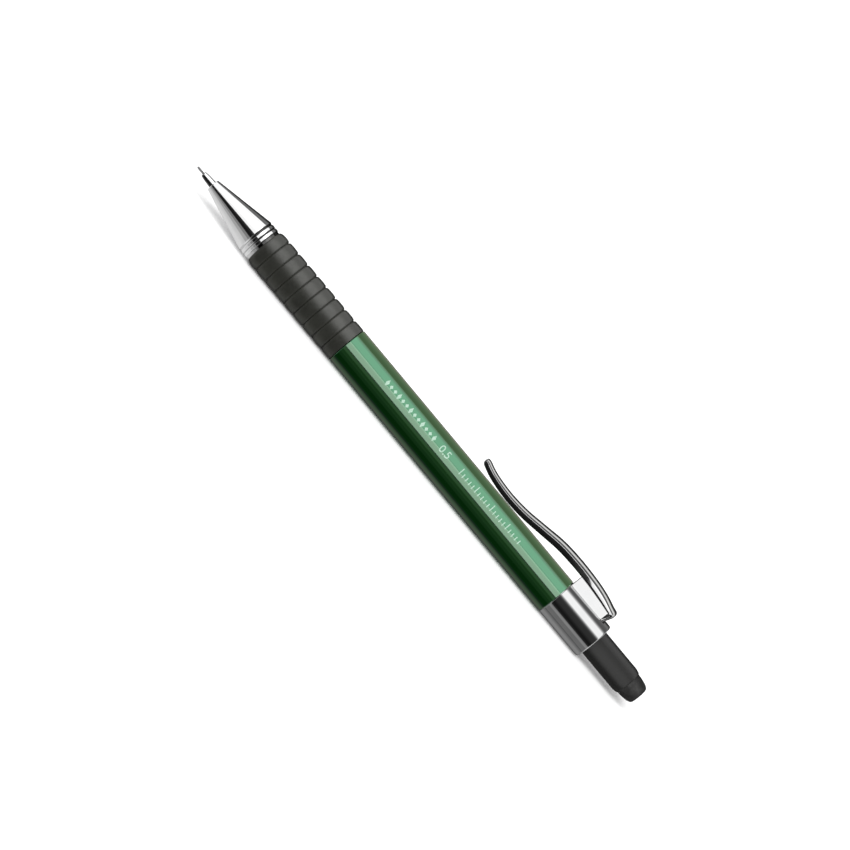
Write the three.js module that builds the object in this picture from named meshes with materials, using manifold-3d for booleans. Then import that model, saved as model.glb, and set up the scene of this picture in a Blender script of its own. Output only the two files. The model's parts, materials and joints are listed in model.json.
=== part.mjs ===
// A lead holder: an automatic pencil for 0.5 mm leads, with a ringed rubber grip, a spring clip and a twist eraser.
// It lies along X with its point towards -X and its clip up (+Z). All sizes are in millimetres.
// A station is a distance along the axis from the lead's point, and a profile is a list of [station, radius].
import * as THREE from "three";
import { mergeVertices } from "three/addons/utils/BufferGeometryUtils.js";
import Module from "manifold-3d";

const wasm = await Module();
wasm.setup();

// Driving dimensions.
const LENGTH = 145; // from the lead's point to the eraser's end
const BODY_RADIUS = 4.85; // half the width across the soft triangle, which is the same all the way round
const LOBE = 0.25; // how far the triangle's corners stand out, and its sides lie in
const LEAD_RADIUS = 0.25;
const LEAD_LENGTH = 60;
const GRIP_RINGS = 9;
const TWIST_PITCH = 4; // travel of the eraser for one turn of its tube
const CLIP_THICKNESS = 1.3;
const CLIP_TAB_THICKNESS = 0.85;
const FIT = 0.06; // gap at each side of pieces that are pushed together
const SLIDE = 0.1; // gap at each side of pieces that slide or turn

// Stations where the outside changes from one piece to the next.
const SLEEVE_TIP = 1.9;
const NOSE_TIP = 5;
const GRIP_START = 21.15;
const BARREL_START = 48.6;
const COLLAR_START = 117.7;
const COLLAR_END = 130.3;
const TUBE_END = 141.4;

// Stations and radii inside, where one piece stops against another.
const CLUTCH_START = 18.8;
const CLUTCH_END = 26.5;
const RESERVOIR_START = 35.2;
const RESERVOIR_END = 116;
const RESERVOIR_RADIUS = 2.45;
const RESERVOIR_BORE = 1.94;
const ERASER_TUBE_RADIUS = 3.32;
const ERASER_TUBE_BORE = 2.95;
const PLUG_START = 101.3;
const TWIST_BORE = 1.2; // inside of the eraser base, round the carrier's rod
const TWIST_PIN_STATION = 106.2;

const OUTER_SIDES = 36;
const INNER_SIDES = 20;
const FINE_SIDES = 12;

const MATERIALS = {
  green: { color: 0x1c5a34, roughness: 0.18, metalness: 0 },
  rubber: { color: 0x3b3b38, roughness: 0.75, metalness: 0 },
  chrome: { color: 0xd9dadb, roughness: 0.08, metalness: 1 },
  black: { color: 0x232321, roughness: 0.35, metalness: 0 },
  eraser: { color: 0x30302f, roughness: 0.85, metalness: 0 },
  brass: { color: 0xb8964c, roughness: 0.3, metalness: 1 },
  steel: { color: 0x9c9fa3, roughness: 0.3, metalness: 1 },
  clear: { color: 0xd9dcd8, roughness: 0.3, metalness: 0 },
  white: { color: 0xe6e4dc, roughness: 0.45, metalness: 0 },
  brake: { color: 0x4a4a48, roughness: 0.8, metalness: 0 },
  lead: { color: 0x2d2d30, roughness: 0.5, metalness: 0.2 },
};

function mesh(name, geometry, material) {
  const made = new THREE.Mesh(geometry, new THREE.MeshStandardMaterial(MATERIALS[material]));
  made.name = name;
  return made;
}

// A closed loop of [station, radius] turned about the X axis, with flats and not corners at the top and bottom.
function turnedLoop(loop, sides = INNER_SIDES) {
  const points = loop.map(([station, radius]) => new THREE.Vector2(radius, station));
  return new THREE.LatheGeometry(points, sides, Math.PI / sides).rotateZ(-Math.PI / 2);
}

// A turned piece with an outside and, if it is hollow, a bore, both given from the point's end to the eraser's end.
function turned(outside, bore = null, sides = INNER_SIDES) {
  if (bore) return turnedLoop([...outside, ...[...bore].reverse(), outside[0]], sides);
  return turnedLoop([[outside[0][0], 0], ...outside, [outside.at(-1)[0], 0]], sides);
}

// Turns a round outside into the soft triangle. Its distance from the axis to a tangent is the radius plus
// LOBE * cos(3 * angle), with corners at the clip's side and at 120 degrees either way. Smaller radii stay round.
function lobed(geometry, fromRadius) {
  const position = geometry.getAttribute("position");
  for (let i = 0; i < position.count; i++) {
    const y = position.getY(i);
    const z = position.getZ(i);
    if (Math.hypot(y, z) < fromRadius) continue;
    const angle = Math.atan2(y, z);
    const out = LOBE * Math.cos(3 * angle);
    const along = 3 * LOBE * Math.sin(3 * angle);
    position.setY(i, y + out * Math.sin(angle) - along * Math.cos(angle));
    position.setZ(i, z + out * Math.cos(angle) + along * Math.sin(angle));
  }
  return geometry;
}

// A box from [station, y, z] to [station, y, z].
function block(low, high) {
  const size = high.map((value, axis) => value - low[axis]);
  const middle = high.map((value, axis) => (value + low[axis]) / 2);
  return new THREE.BoxGeometry(...size).translate(...middle);
}

// A wire or groove of the given section, wound round the X axis.
function wound(section, radius, startStation, endStation, pitch, stepsPerTurn, startAngle = 0) {
  const turns = (endStation - startStation) / pitch;
  const coil = new THREE.Curve();
  coil.getPoint = (t, target = new THREE.Vector3()) => {
    const angle = startAngle + t * turns * 2 * Math.PI;
    const station = startStation + t * (endStation - startStation);
    return target.set(station, -radius * Math.sin(angle), radius * Math.cos(angle));
  };
  const steps = Math.round(turns * stepsPerTurn);
  return new THREE.ExtrudeGeometry(section, { steps, extrudePath: coil, bevelEnabled: false });
}

function wireSection(radius, sides = 6) {
  const section = new THREE.Shape();
  for (let i = 0; i < sides; i++) {
    const angle = (i / sides) * 2 * Math.PI;
    section[i ? "lineTo" : "moveTo"](radius * Math.cos(angle), radius * Math.sin(angle));
  }
  return section;
}

function solidOf(geometry) {
  const bare = geometry.index ? geometry.toNonIndexed() : geometry.clone();
  bare.deleteAttribute("normal");
  bare.deleteAttribute("uv");
  const merged = mergeVertices(bare, 1e-4);
  const vertProperties = merged.getAttribute("position").array;
  const triVerts = new Uint32Array(merged.index.array);
  return new wasm.Manifold(new wasm.Mesh({ numProp: 3, vertProperties, triVerts }));
}

function geometryOf(solid) {
  const { vertProperties, triVerts } = solid.getMesh();
  const geometry = new THREE.BufferGeometry();
  geometry.setAttribute("position", new THREE.BufferAttribute(vertProperties, 3));
  geometry.setIndex(new THREE.BufferAttribute(triVerts, 1));
  return geometry;
}

function cut(geometry, ...tools) {
  return geometryOf(tools.reduce((solid, tool) => solid.subtract(solidOf(tool)), solidOf(geometry)));
}

function join(geometry, ...others) {
  return geometryOf(others.reduce((solid, other) => solid.add(solidOf(other)), solidOf(geometry)));
}

// ---- The point: nose cone, sliding guide sleeve and its spring ----

function noseCone() {
  const coneEnd = 18.6;
  const ringRadius = 4.32;
  const grooveRadius = 4.02;
  const outside = [
    [NOSE_TIP, 1.3],
    [NOSE_TIP + 0.15, 1.48],
    [coneEnd, 4.25],
    [coneEnd + 0.15, grooveRadius],
  ];
  for (const ringStart of [19.15, 20.15]) {
    outside.push([ringStart, grooveRadius], [ringStart + 0.1, ringRadius]);
    outside.push([ringStart + 0.45, ringRadius], [ringStart + 0.55, grooveRadius]);
  }
  outside.push([GRIP_START - 0.1, grooveRadius]);
  const bore = [
    [NOSE_TIP, 1],
    [7.6, 1],
    [7.9, 1.6],
    [11.2, 1.6],
    [11.2, 2.2],
    [15.8, 2.2],
    [16.6, 3.3],
    [GRIP_START - 0.1, 3.3],
  ];
  return mesh("nose_cone", turned(outside, bore, OUTER_SIDES), "chrome");
}

function tipSleeve() {
  const rear = 10.8;
  const outside = [
    [SLEEVE_TIP, 0.5],
    [SLEEVE_TIP + 0.25, 0.62],
    [3, 0.8],
    [4.8, 0.9],
    [rear, 0.9],
  ];
  const bore = [
    [SLEEVE_TIP, LEAD_RADIUS + 0.05],
    [rear, LEAD_RADIUS + 0.05],
  ];
  return mesh("tip_sleeve", turned(outside, bore, 16), "chrome");
}

function slider() {
  const outside = [
    [8.8, 1.3],
    [9, 1.45],
    [11.3, 1.45],
    [11.3, 2.05],
    [12.2, 2.05],
    [12.2, 1.5],
    [13.5, 1.5],
  ];
  const bore = [
    [8.8, 0.96],
    [10.9, 0.96],
    [10.9, 0.36],
    [11.5, 0.36],
    [11.5, 1.2],
    [13.5, 1.2],
  ];
  return mesh("slider", turned(outside, bore), "white");
}

// The rubber grommet that holds the lead while the clutch is open.
function leadBrake() {
  const outside = [
    [11.6, 1.2 - FIT],
    [13.4, 1.2 - FIT],
  ];
  const bore = [
    [11.6, 0.5],
    [12.2, LEAD_RADIUS + 0.02],
    [12.8, LEAD_RADIUS + 0.02],
    [13.4, 0.5],
  ];
  return mesh("lead_brake", turned(outside, bore, FINE_SIDES), "brake");
}

function sliderSpring() {
  const wire = 0.15;
  const geometry = wound(wireSection(wire), 1.8, 12.3 + wire, CLUTCH_START - 0.1 - wire, 1.05, 12);
  return mesh("slider_spring", geometry, "steel");
}

// ---- The clutch: jaws, ring, fixed sleeve and the button's spring ----

function clutchSleeve() {
  const radius = 2.74;
  const outside = [
    [CLUTCH_START, radius],
    [CLUTCH_END, radius],
  ];
  const bore = [
    [CLUTCH_START, 1.62],
    [CLUTCH_START + 0.5, 1.62],
    [CLUTCH_START + 0.5, 1.92],
    [22.3, 1.92],
    [22.5, 1.15],
    [CLUTCH_END, 1.15],
  ];
  return mesh("clutch_sleeve", turned(outside, bore), "brass");
}

function clutchRing() {
  const outside = [
    [20.15, 1.74],
    [20.23, 1.82],
    [22, 1.82],
  ];
  const bore = [
    [20.15, 1.36],
    [22, 1.36],
  ];
  return mesh("clutch_ring", turned(outside, bore), "brass");
}

function chuck() {
  const rear = 36;
  const outside = [
    [18.9, 0.8],
    [19.3, 1.45],
    [19.8, 1.5],
    [20.1, 1.28],
    [22.2, 1.28],
    [22.6, 1],
    [rear, 1],
  ];
  const bore = [
    [18.9, LEAD_RADIUS + 0.05],
    [22, LEAD_RADIUS + 0.05],
    [22.6, 0.42],
    [rear, 0.42],
  ];
  const slitLength = 8;
  const slits = [0, 1, 2].map((i) =>
    block([18, -0.1, 0], [18.9 + slitLength, 0.1, 2]).rotateX((i * 2 * Math.PI) / 3),
  );
  return mesh("chuck", cut(turned(outside, bore), ...slits), "brass");
}

function chuckSpring() {
  const wire = 0.2;
  const geometry = wound(wireSection(wire), 1.7, CLUTCH_END + 0.1 + wire, 34.1 - wire, 1.15, 12);
  return mesh("chuck_spring", geometry, "steel");
}

// Joins the chuck's stem to the reservoir, and funnels the next lead into it.
function chuckConnector() {
  const outside = [
    [34.2, 2.2],
    [RESERVOIR_START - 0.1, 2.2],
    [RESERVOIR_START - 0.1, RESERVOIR_BORE - FIT],
    [40.5, RESERVOIR_BORE - FIT],
  ];
  const bore = [
    [34.2, 1 + FIT],
    [36.1, 1 + FIT],
    [36.1, 0.4],
    [37.5, 0.4],
    [40.5, 1.7],
  ];
  return mesh("chuck_connector", turned(outside, bore), "white");
}

// ---- Leads and their reservoir ----

function leadReservoir() {
  const outside = [
    [RESERVOIR_START, RESERVOIR_RADIUS],
    [RESERVOIR_END, RESERVOIR_RADIUS],
  ];
  const bore = [
    [RESERVOIR_START, RESERVOIR_BORE],
    [RESERVOIR_END, RESERVOIR_BORE],
  ];
  return mesh("lead_reservoir", turned(outside, bore), "clear");
}

function lead() {
  const outside = [
    [0, 0.14],
    [0.12, LEAD_RADIUS],
    [LEAD_LENGTH - 2, LEAD_RADIUS],
  ];
  return mesh("lead", turned(outside, null, 8), "lead");
}

function spareLeads() {
  const start = 41;
  const fromAxis = RESERVOIR_BORE - LEAD_RADIUS - FIT;
  return [-1, 0, 1].map((place, i) => {
    const angle = Math.PI + (place * Math.PI) / 5;
    const rod = turned(
      [
        [start, LEAD_RADIUS],
        [start + LEAD_LENGTH, LEAD_RADIUS],
      ],
      null,
      8,
    );
    rod.translate(0, fromAxis * Math.sin(angle), fromAxis * Math.cos(angle));
    return mesh(`spare_lead_${i + 1}`, rod, "lead");
  });
}

// ---- The outer body ----

function barrel() {
  const spigotRadius = 3.56;
  const threadRadius = 3.2;
  const rear = COLLAR_START - 0.1;
  const outside = [
    [17, threadRadius - 0.15],
    [17.2, threadRadius],
    [GRIP_START, threadRadius],
    [GRIP_START, spigotRadius],
    [BARREL_START, spigotRadius],
    [BARREL_START, BODY_RADIUS - 0.15],
    [BARREL_START + 0.15, BODY_RADIUS],
    [rear, BODY_RADIUS],
  ];
  const bore = [
    [17, 2.8],
    [CLUTCH_END + 0.1, 2.8],
    [CLUTCH_END + 0.1, 2.25],
    [27.6, 2.25],
    [27.6, 2.8],
    [49.5, 2.8],
    [51, 3.75],
    [111.2, 3.75],
    [111.2, 4.12],
    [rear, 4.12],
  ];
  return mesh("barrel", lobed(turned(outside, bore, OUTER_SIDES), 4.3), "green");
}

// The rings swell gently towards the eraser's end and drop into a narrow groove there.
function gripSleeve() {
  const rear = BARREL_START - 0.1;
  const firstGroove = 24;
  const pitch = (rear - firstGroove) / (GRIP_RINGS - 1);
  const outside = [
    [GRIP_START, 4],
    [GRIP_START + 0.3, 4.45],
    [GRIP_START + 1, 4.72],
  ];
  for (let ring = 1; ring < GRIP_RINGS; ring++) {
    const groove = firstGroove + (ring - 1) * pitch;
    outside.push([groove - 0.2, BODY_RADIUS], [groove, BODY_RADIUS - 0.35], [groove + 0.2, BODY_RADIUS - 0.1]);
  }
  outside.push([rear, BODY_RADIUS]);
  const bore = [
    [GRIP_START, 3.56 + FIT],
    [rear, 3.56 + FIT],
  ];
  return mesh("grip_sleeve", lobed(turned(outside, bore, OUTER_SIDES), 3.9), "rubber");
}

// ---- The clip and the collar that carries it ----

// The clip's middle line, from its free end to its bend, as [station, height above the axis].
const CLIP_LINE = new THREE.SplineCurve(
  [
    [86.3, 7.53],
    [90, 6.58],
    [95, 6.17],
    [100, 6.46],
    [105, 7.36],
    [110, 8.25],
    [115, 8.54],
    [120, 8.4],
    [124, 8.01],
    [127.4, 7.43],
  ].map(([station, height]) => new THREE.Vector2(station, height)),
);
const CLIP_REAR = 128.9;
const CLIP_TAB_FOOT = 4.8;

// The height of the clip's underside at a station.
function clipUnderside(station) {
  const points = CLIP_LINE.getPoints(200);
  const nearest = points.reduce((a, b) => (Math.abs(b.x - station) < Math.abs(a.x - station) ? b : a));
  return nearest.y - CLIP_THICKNESS / 2;
}

// The clip is widest over the collar, narrower towards its free end, and rounded there.
function clipHalfWidth(station) {
  const full = THREE.MathUtils.mapLinear(Math.min(station, 118), 86, 118, 1.55, 2.35);
  const fromEnd = THREE.MathUtils.clamp((station - 85.9) / 1.4, 0, 1);
  return full * Math.sqrt(0.12 + 0.88 * (1 - (1 - fromEnd) ** 2));
}

function clip() {
  const half = CLIP_THICKNESS / 2;
  const steps = 26;
  const top = [];
  const under = [];
  for (let i = 0; i <= steps; i++) {
    const middle = CLIP_LINE.getPoint(i / steps);
    const tangent = CLIP_LINE.getTangent(i / steps);
    top.push([middle.x - tangent.y * half, middle.y + tangent.x * half]);
    under.push([middle.x + tangent.y * half, middle.y - tangent.x * half]);
  }
  const tabFront = CLIP_REAR - 0.75 - CLIP_TAB_THICKNESS;
  const outline = new THREE.Shape();
  outline.moveTo(...top[0]);
  top.slice(1).forEach((point) => outline.lineTo(...point));
  outline.quadraticCurveTo(CLIP_REAR, top.at(-1)[1] - 0.3, CLIP_REAR, 6.6);
  outline.lineTo(tabFront + CLIP_TAB_THICKNESS, CLIP_TAB_FOOT);
  outline.lineTo(tabFront, CLIP_TAB_FOOT);
  outline.lineTo(CLIP_REAR - CLIP_TAB_THICKNESS, under.at(-1)[1] - 0.35);
  [...under].reverse().forEach((point) => outline.lineTo(...point));
  outline.quadraticCurveTo(85.85, under[0][1] + half, top[0][0], top[0][1]);
  const geometry = new THREE.ExtrudeGeometry(outline, { depth: 2, steps: 1, bevelEnabled: false, curveSegments: 4 });
  geometry.translate(0, 0, -1).rotateX(Math.PI / 2);
  const position = geometry.getAttribute("position");
  for (let i = 0; i < position.count; i++) position.setY(i, position.getY(i) * clipHalfWidth(position.getX(i)));
  return mesh("clip", geometry, "chrome");
}

// The collar plugs into the barrel, guides the eraser's tube, and stands up in a lug under the clip.
function rearCollar() {
  const spigotStart = 111.5;
  const spigotRadius = 4.12 - FIT;
  const boreRadius = 3.72;
  const outside = [
    [spigotStart, spigotRadius - 0.15],
    [spigotStart + 0.2, spigotRadius],
    [COLLAR_START, spigotRadius],
    [COLLAR_START, BODY_RADIUS - 0.12],
    [COLLAR_START + 0.12, BODY_RADIUS],
    [COLLAR_END - 0.3, BODY_RADIUS],
    [COLLAR_END, BODY_RADIUS - 0.3],
  ];
  const bore = [
    [spigotStart, boreRadius],
    [COLLAR_END - 1, boreRadius],
    [COLLAR_END - 1, ERASER_TUBE_RADIUS + SLIDE],
    [COLLAR_END, ERASER_TUBE_RADIUS + SLIDE],
  ];
  const lugFront = COLLAR_START + 0.25;
  const lugRear = 127.2;
  const lugHalfWidth = 1.6;
  const side = new THREE.Shape();
  side.moveTo(lugFront, 4.2);
  const lugSteps = 6;
  for (let i = 0; i <= lugSteps; i++) {
    const station = THREE.MathUtils.lerp(lugFront, lugRear, i / lugSteps);
    side.lineTo(station, clipUnderside(station) - 0.12);
  }
  side.lineTo(lugRear, 4.2);
  const lug = new THREE.ExtrudeGeometry(side, { depth: 2 * lugHalfWidth, steps: 1, bevelEnabled: false });
  lug.translate(0, 0, -lugHalfWidth).rotateX(Math.PI / 2);
  const slot = block([lugRear, -2.5, 4.5], [CLIP_REAR - 0.55, 2.5, 6]);
  const geometry = join(lobed(turned(outside, bore, OUTER_SIDES), 4.3), lug);
  return mesh("rear_collar", cut(geometry, slot), "chrome");
}

function collarBush() {
  const outside = [
    [112, 3.72 - FIT],
    [COLLAR_END - 1.1, 3.72 - FIT],
  ];
  const bore = [
    [112, ERASER_TUBE_RADIUS + SLIDE],
    [COLLAR_END - 1.1, ERASER_TUBE_RADIUS + SLIDE],
  ];
  return mesh("collar_bush", turned(outside, bore), "white");
}

// ---- The twist eraser ----

// Plugs into the reservoir. A helical groove in its bore drives the carrier's pin, which is at the top at rest.
function eraserBase() {
  const flangeRadius = 2.8;
  const flangeStart = RESERVOIR_END + 0.1;
  const rear = flangeStart + 1;
  const floor = PLUG_START + 0.9;
  const shell = turnedLoop([
    [PLUG_START, 0],
    [PLUG_START, RESERVOIR_BORE - FIT],
    [flangeStart, RESERVOIR_BORE - FIT],
    [flangeStart, flangeRadius],
    [rear, flangeRadius],
    [rear, TWIST_BORE],
    [floor, TWIST_BORE],
    [floor, 0],
  ]);
  const grooveStart = TWIST_PIN_STATION - TWIST_PITCH;
  const grooveAngle = (0.65 / TWIST_PITCH) * 2 * Math.PI;
  const groove = wound(wireSection(0.58, 8), 1.15, grooveStart + 0.65, rear + 0.4, TWIST_PITCH, 14, grooveAngle);
  return mesh("eraser_base", cut(shell, groove), "white");
}

// A rod with a pin that follows the helix, and a cup for the eraser with keys that slide in the tube.
function eraserCarrier() {
  const rodRadius = 0.85;
  const cupStart = 121.1;
  const cupRadius = ERASER_TUBE_BORE - SLIDE;
  const body = turnedLoop([
    [TWIST_PIN_STATION - 0.8, 0],
    [TWIST_PIN_STATION - 0.8, rodRadius],
    [cupStart, rodRadius],
    [cupStart, cupRadius],
    [cupStart + 4.5, cupRadius],
    [cupStart + 4.5, 2.5],
    [cupStart + 1.1, 2.5],
    [cupStart + 1.1, 0],
  ]);
  const pin = new THREE.CylinderGeometry(0.3, 0.3, 0.9, 10).rotateX(Math.PI / 2);
  pin.translate(TWIST_PIN_STATION, 0, rodRadius + 0.15);
  const keys = [-1, 1].map((side) =>
    block([cupStart + 0.5, -0.35, side > 0 ? 2.6 : -3.04], [cupStart + 3.5, 0.35, side > 0 ? 3.04 : -2.6]),
  );
  return mesh("eraser_carrier", join(body, pin, ...keys), "white");
}

function eraser() {
  const bodyRadius = ERASER_TUBE_BORE - 0.09;
  const outside = [
    [122.3, 2.44],
    [125.7, 2.44],
    [125.7, bodyRadius],
    [TUBE_END, bodyRadius],
    [LENGTH - 0.9, 2.38],
    [LENGTH - 0.3, 2.15],
    [LENGTH, 1.8],
  ];
  return mesh("eraser", turned(outside), "eraser");
}

// The tube that is twisted and pressed. A lip inside it turns behind the base's flange.
function eraserTube() {
  const front = 110;
  const lip = RESERVOIR_END + 1.2;
  const outside = [
    [front, ERASER_TUBE_RADIUS - 0.15],
    [front + 0.15, ERASER_TUBE_RADIUS],
    [TUBE_END - 1.1, ERASER_TUBE_RADIUS],
    [TUBE_END, ERASER_TUBE_RADIUS - 0.28],
  ];
  const bore = [
    [front, ERASER_TUBE_BORE],
    [lip, ERASER_TUBE_BORE],
    [lip, 1.6],
    [lip + 0.8, 1.6],
    [lip + 0.8, ERASER_TUBE_BORE],
    [TUBE_END, ERASER_TUBE_BORE],
  ];
  const keyways = [-1, 1].map((side) =>
    block([lip + 0.8, -0.45, side > 0 ? 2.5 : -3.12], [138, 0.45, side > 0 ? 3.12 : -2.5]),
  );
  return mesh("eraser_tube", cut(turned(outside, bore), ...keyways), "black");
}

// The ring pushed into the tube in front of the base's flange, which keeps the two together.
function retainingRing() {
  const outside = [
    [RESERVOIR_END - 1.2, ERASER_TUBE_BORE - FIT],
    [RESERVOIR_END - 0.1, ERASER_TUBE_BORE - FIT],
  ];
  const bore = [
    [RESERVOIR_END - 1.2, RESERVOIR_RADIUS + SLIDE],
    [RESERVOIR_END - 0.1, RESERVOIR_RADIUS + SLIDE],
  ];
  return mesh("retaining_ring", turned(outside, bore), "steel");
}

const pencil = new THREE.Group();
pencil.add(noseCone(), tipSleeve(), slider(), leadBrake(), sliderSpring());
pencil.add(clutchSleeve(), clutchRing(), chuck(), chuckSpring(), chuckConnector());
pencil.add(lead(), ...spareLeads(), leadReservoir());
pencil.add(barrel(), gripSleeve(), rearCollar(), collarBush(), clip());
pencil.add(eraserBase(), eraserCarrier(), eraser(), eraserTube(), retainingRing());

// The origin is the middle of the footprint, on the surface that the barrel lies on.
const extent = new THREE.Box3().setFromObject(pencil);
const middle = extent.getCenter(new THREE.Vector3());
pencil.position.set(-middle.x, 0, -extent.min.z);

export default pencil;
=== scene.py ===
import json
import math

import bmesh
import bpy
from mathutils import Matrix, Vector

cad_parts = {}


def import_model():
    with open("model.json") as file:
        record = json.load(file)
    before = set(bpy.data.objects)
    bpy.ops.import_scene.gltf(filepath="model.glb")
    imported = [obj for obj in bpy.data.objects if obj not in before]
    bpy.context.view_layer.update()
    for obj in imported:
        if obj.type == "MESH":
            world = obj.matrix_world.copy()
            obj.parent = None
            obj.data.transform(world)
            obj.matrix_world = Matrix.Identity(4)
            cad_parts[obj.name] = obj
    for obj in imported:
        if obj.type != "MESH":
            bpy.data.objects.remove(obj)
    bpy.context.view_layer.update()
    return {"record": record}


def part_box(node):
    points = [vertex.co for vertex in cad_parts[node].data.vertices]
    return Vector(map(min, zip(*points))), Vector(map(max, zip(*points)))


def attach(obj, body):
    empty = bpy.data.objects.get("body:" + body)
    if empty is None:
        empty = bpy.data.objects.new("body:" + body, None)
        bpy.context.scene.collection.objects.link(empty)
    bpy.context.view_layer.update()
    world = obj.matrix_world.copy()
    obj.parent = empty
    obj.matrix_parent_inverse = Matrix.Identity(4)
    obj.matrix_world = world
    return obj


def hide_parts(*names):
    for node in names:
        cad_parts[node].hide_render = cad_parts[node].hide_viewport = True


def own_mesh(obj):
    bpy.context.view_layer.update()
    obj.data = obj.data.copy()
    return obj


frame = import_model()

MM = 0.001
lead_low, lead_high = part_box("lead")
TIP_X = lead_low[0]
AXIS_Z = (lead_low[2] + lead_high[2]) / 2

SIDES = 144  # round the outer pieces
INNER_SIDES = 72
ARC_STEPS = 4  # in a rounded corner
COIL_STEPS = 28  # in a turn of a spring
WIRE_SIDES = 14
SHARP = 32  # degrees between faces that meet in a sharp edge

LENGTH = 145
LEAD_RADIUS = 0.25
LEAD_LENGTH = 60
BODY_RADIUS = 4.69
LOBE = 0.115  # how far the soft triangle's corners stand out
LOBE_INSIDE = 3.9  # radius below which a section is round
COLLAR_RADIUS = 4.67
COLLAR_LOBE = 0.096

# Stations on the outside, from the point to the eraser.
NOSE_TIP, CONE_END = 5, 18.92
GRIP_START, GRIP_END = 21.85, 48.87
GRIP_SHOULDER = 1.5
GROOVES = 8
GROOVE_FIRST, GROOVE_PITCH = 24.64, 3.045
BARREL_START = 48.95
COLLAR_START, COLLAR_END = 117.7, 130.18
LUG_END = 127.2
TUBE_END = 141.4
NOSE_RING, NOSE_GROOVE = 4.34, 4.15  # radii of the rings behind the cone, and between them

# Stations and radii inside, where one piece stops against another.
CLUTCH_START, CLUTCH_END = 18.8, 26.5
RESERVOIR_START, RESERVOIR_END = 35.2, 116
RESERVOIR_RADIUS, RESERVOIR_BORE = 2.45, 1.94
PLUG_RADIUS = 1.88
PLUG_START, PLUG_FLOOR, PLUG_END = 101.3, 102.2, 117.1
TUBE_RADIUS, TUBE_BORE = 3.32, 2.95
CUP_START, CUP_END, CUP_BORE = 121.1, 125.6, 2.5
TWIST_PIN = 106.2
TWIST_PITCH = 4

PRINT_ANGLE = math.radians(-55)  # where the print is, from the clip's side towards the front
PRINT_LIFT = 0.015
PRINT_THICKNESS = 0.03


def place(station, y, z):
    """A point in the row frame, in metres."""
    return Vector((TIP_X + station * MM, y * MM, AXIS_Z + z * MM))


# ---- Building meshes ----

def make_mesh(name, vertices, faces, sharp=SHARP):
    """A closed mesh object with its faces pointing out, shaded smooth but for its sharp edges."""
    mesh = bpy.data.meshes.new(name)
    mesh.from_pydata(vertices, [], faces)
    work = bmesh.new()
    work.from_mesh(mesh)
    bmesh.ops.recalc_face_normals(work, faces=work.faces)
    work.to_mesh(mesh)
    work.free()
    mesh.shade_smooth()
    mesh.set_sharp_from_angle(angle=math.radians(sharp))
    made = bpy.data.objects.new(name, mesh)
    bpy.context.scene.collection.objects.link(made)
    return made


def rounded(profile):
    """The profile with each corner that has a third number cut back by it and bridged with a smooth arc."""
    points = []
    for i, corner in enumerate(profile):
        here = Vector(corner[:2])
        if len(corner) < 3:
            points.append(here)
            continue
        start = here + (Vector(profile[i - 1][:2]) - here).normalized() * corner[2]
        end = here + (Vector(profile[(i + 1) % len(profile)][:2]) - here).normalized() * corner[2]
        for k in range(ARC_STEPS + 1):
            t = k / ARC_STEPS
            points.append(start * (1 - t) ** 2 + here * (2 * t * (1 - t)) + end * t * t)
    return points


def supported(points):
    """Adds points close to the ends of each long straight, so that shading turns only at the corners."""
    edge = 0.04
    line = []
    for here, there in zip(points, [*points[1:], points[0]]):
        line.append(here)
        length = (there - here).length
        if length > 8 * edge:
            line += [here.lerp(there, edge / length), there.lerp(here, edge / length)]
    return line


def section_point(radius, angle, lobe):
    """A point of the soft triangle's section as (y, z). The angle is from the clip's side."""
    out = radius + lobe * math.cos(3 * angle)
    along = 3 * lobe * math.sin(3 * angle)
    return (
        out * math.sin(angle) - along * math.cos(angle),
        out * math.cos(angle) + along * math.sin(angle),
    )


def ring_mesh(name, rings, sharp=SHARP):
    """A skin over rings of points. The last ring joins the first, and a ring of one point closes an end."""
    vertices = [point for ring in rings for point in ring]
    starts = [0]
    for ring in rings:
        starts.append(starts[-1] + len(ring))
    faces = []
    for j in range(len(rings)):
        k = (j + 1) % len(rings)
        here, there = len(rings[j]), len(rings[k])
        sides = max(here, there)
        for i in range(sides):
            corners = [
                starts[j] + i % here,
                starts[j] + (i + 1) % here,
                starts[k] + (i + 1) % there,
                starts[k] + i % there,
            ]
            corners = list(dict.fromkeys(corners))
            if len(corners) > 2:
                faces.append(corners)
    return make_mesh(name, vertices, faces, sharp)


def turned(name, profile, lobe=None, sides=INNER_SIDES, sharp=SHARP):
    """A profile turned about the axis. lobe gives the soft triangle's size at a radius."""
    rings = []
    for station, radius in supported(rounded(profile)):
        if radius < 1e-6:
            rings.append([place(station, 0, 0)])
            continue
        size = lobe(radius) if lobe else 0
        angles = [2 * math.pi * i / sides for i in range(sides)]
        rings.append([place(station, *section_point(radius, a, size)) for a in angles])
    return ring_mesh(name, rings, sharp)


def limited(value):
    return min(max(value, 0), 1)


def body_lobe(radius):
    """Full on the outside, and fading to a round section further in."""
    return LOBE * limited((radius - LOBE_INSIDE) / (BODY_RADIUS - LOBE_INSIDE))


def collar_lobe(radius):
    """The collar is rounder than the barrel, and flush with it on the three flats."""
    return COLLAR_LOBE * limited((radius - LOBE_INSIDE) / (COLLAR_RADIUS - LOBE_INSIDE))


def smooth_line(points, steps):
    """Points along a smooth curve through the given ones."""
    ends = [points[0] * 2 - points[1], *points, points[-1] * 2 - points[-2]]
    line = []
    for a, b, c, d in zip(ends, ends[1:], ends[2:], ends[3:]):
        square = 2 * a - 5 * b + 4 * c - d
        cube = 3 * b - a - 3 * c + d
        for k in range(steps):
            t = k / steps
            line.append(0.5 * (2 * b + (c - a) * t + square * t * t + cube * t ** 3))
    return [*line, points[-1]]


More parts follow.
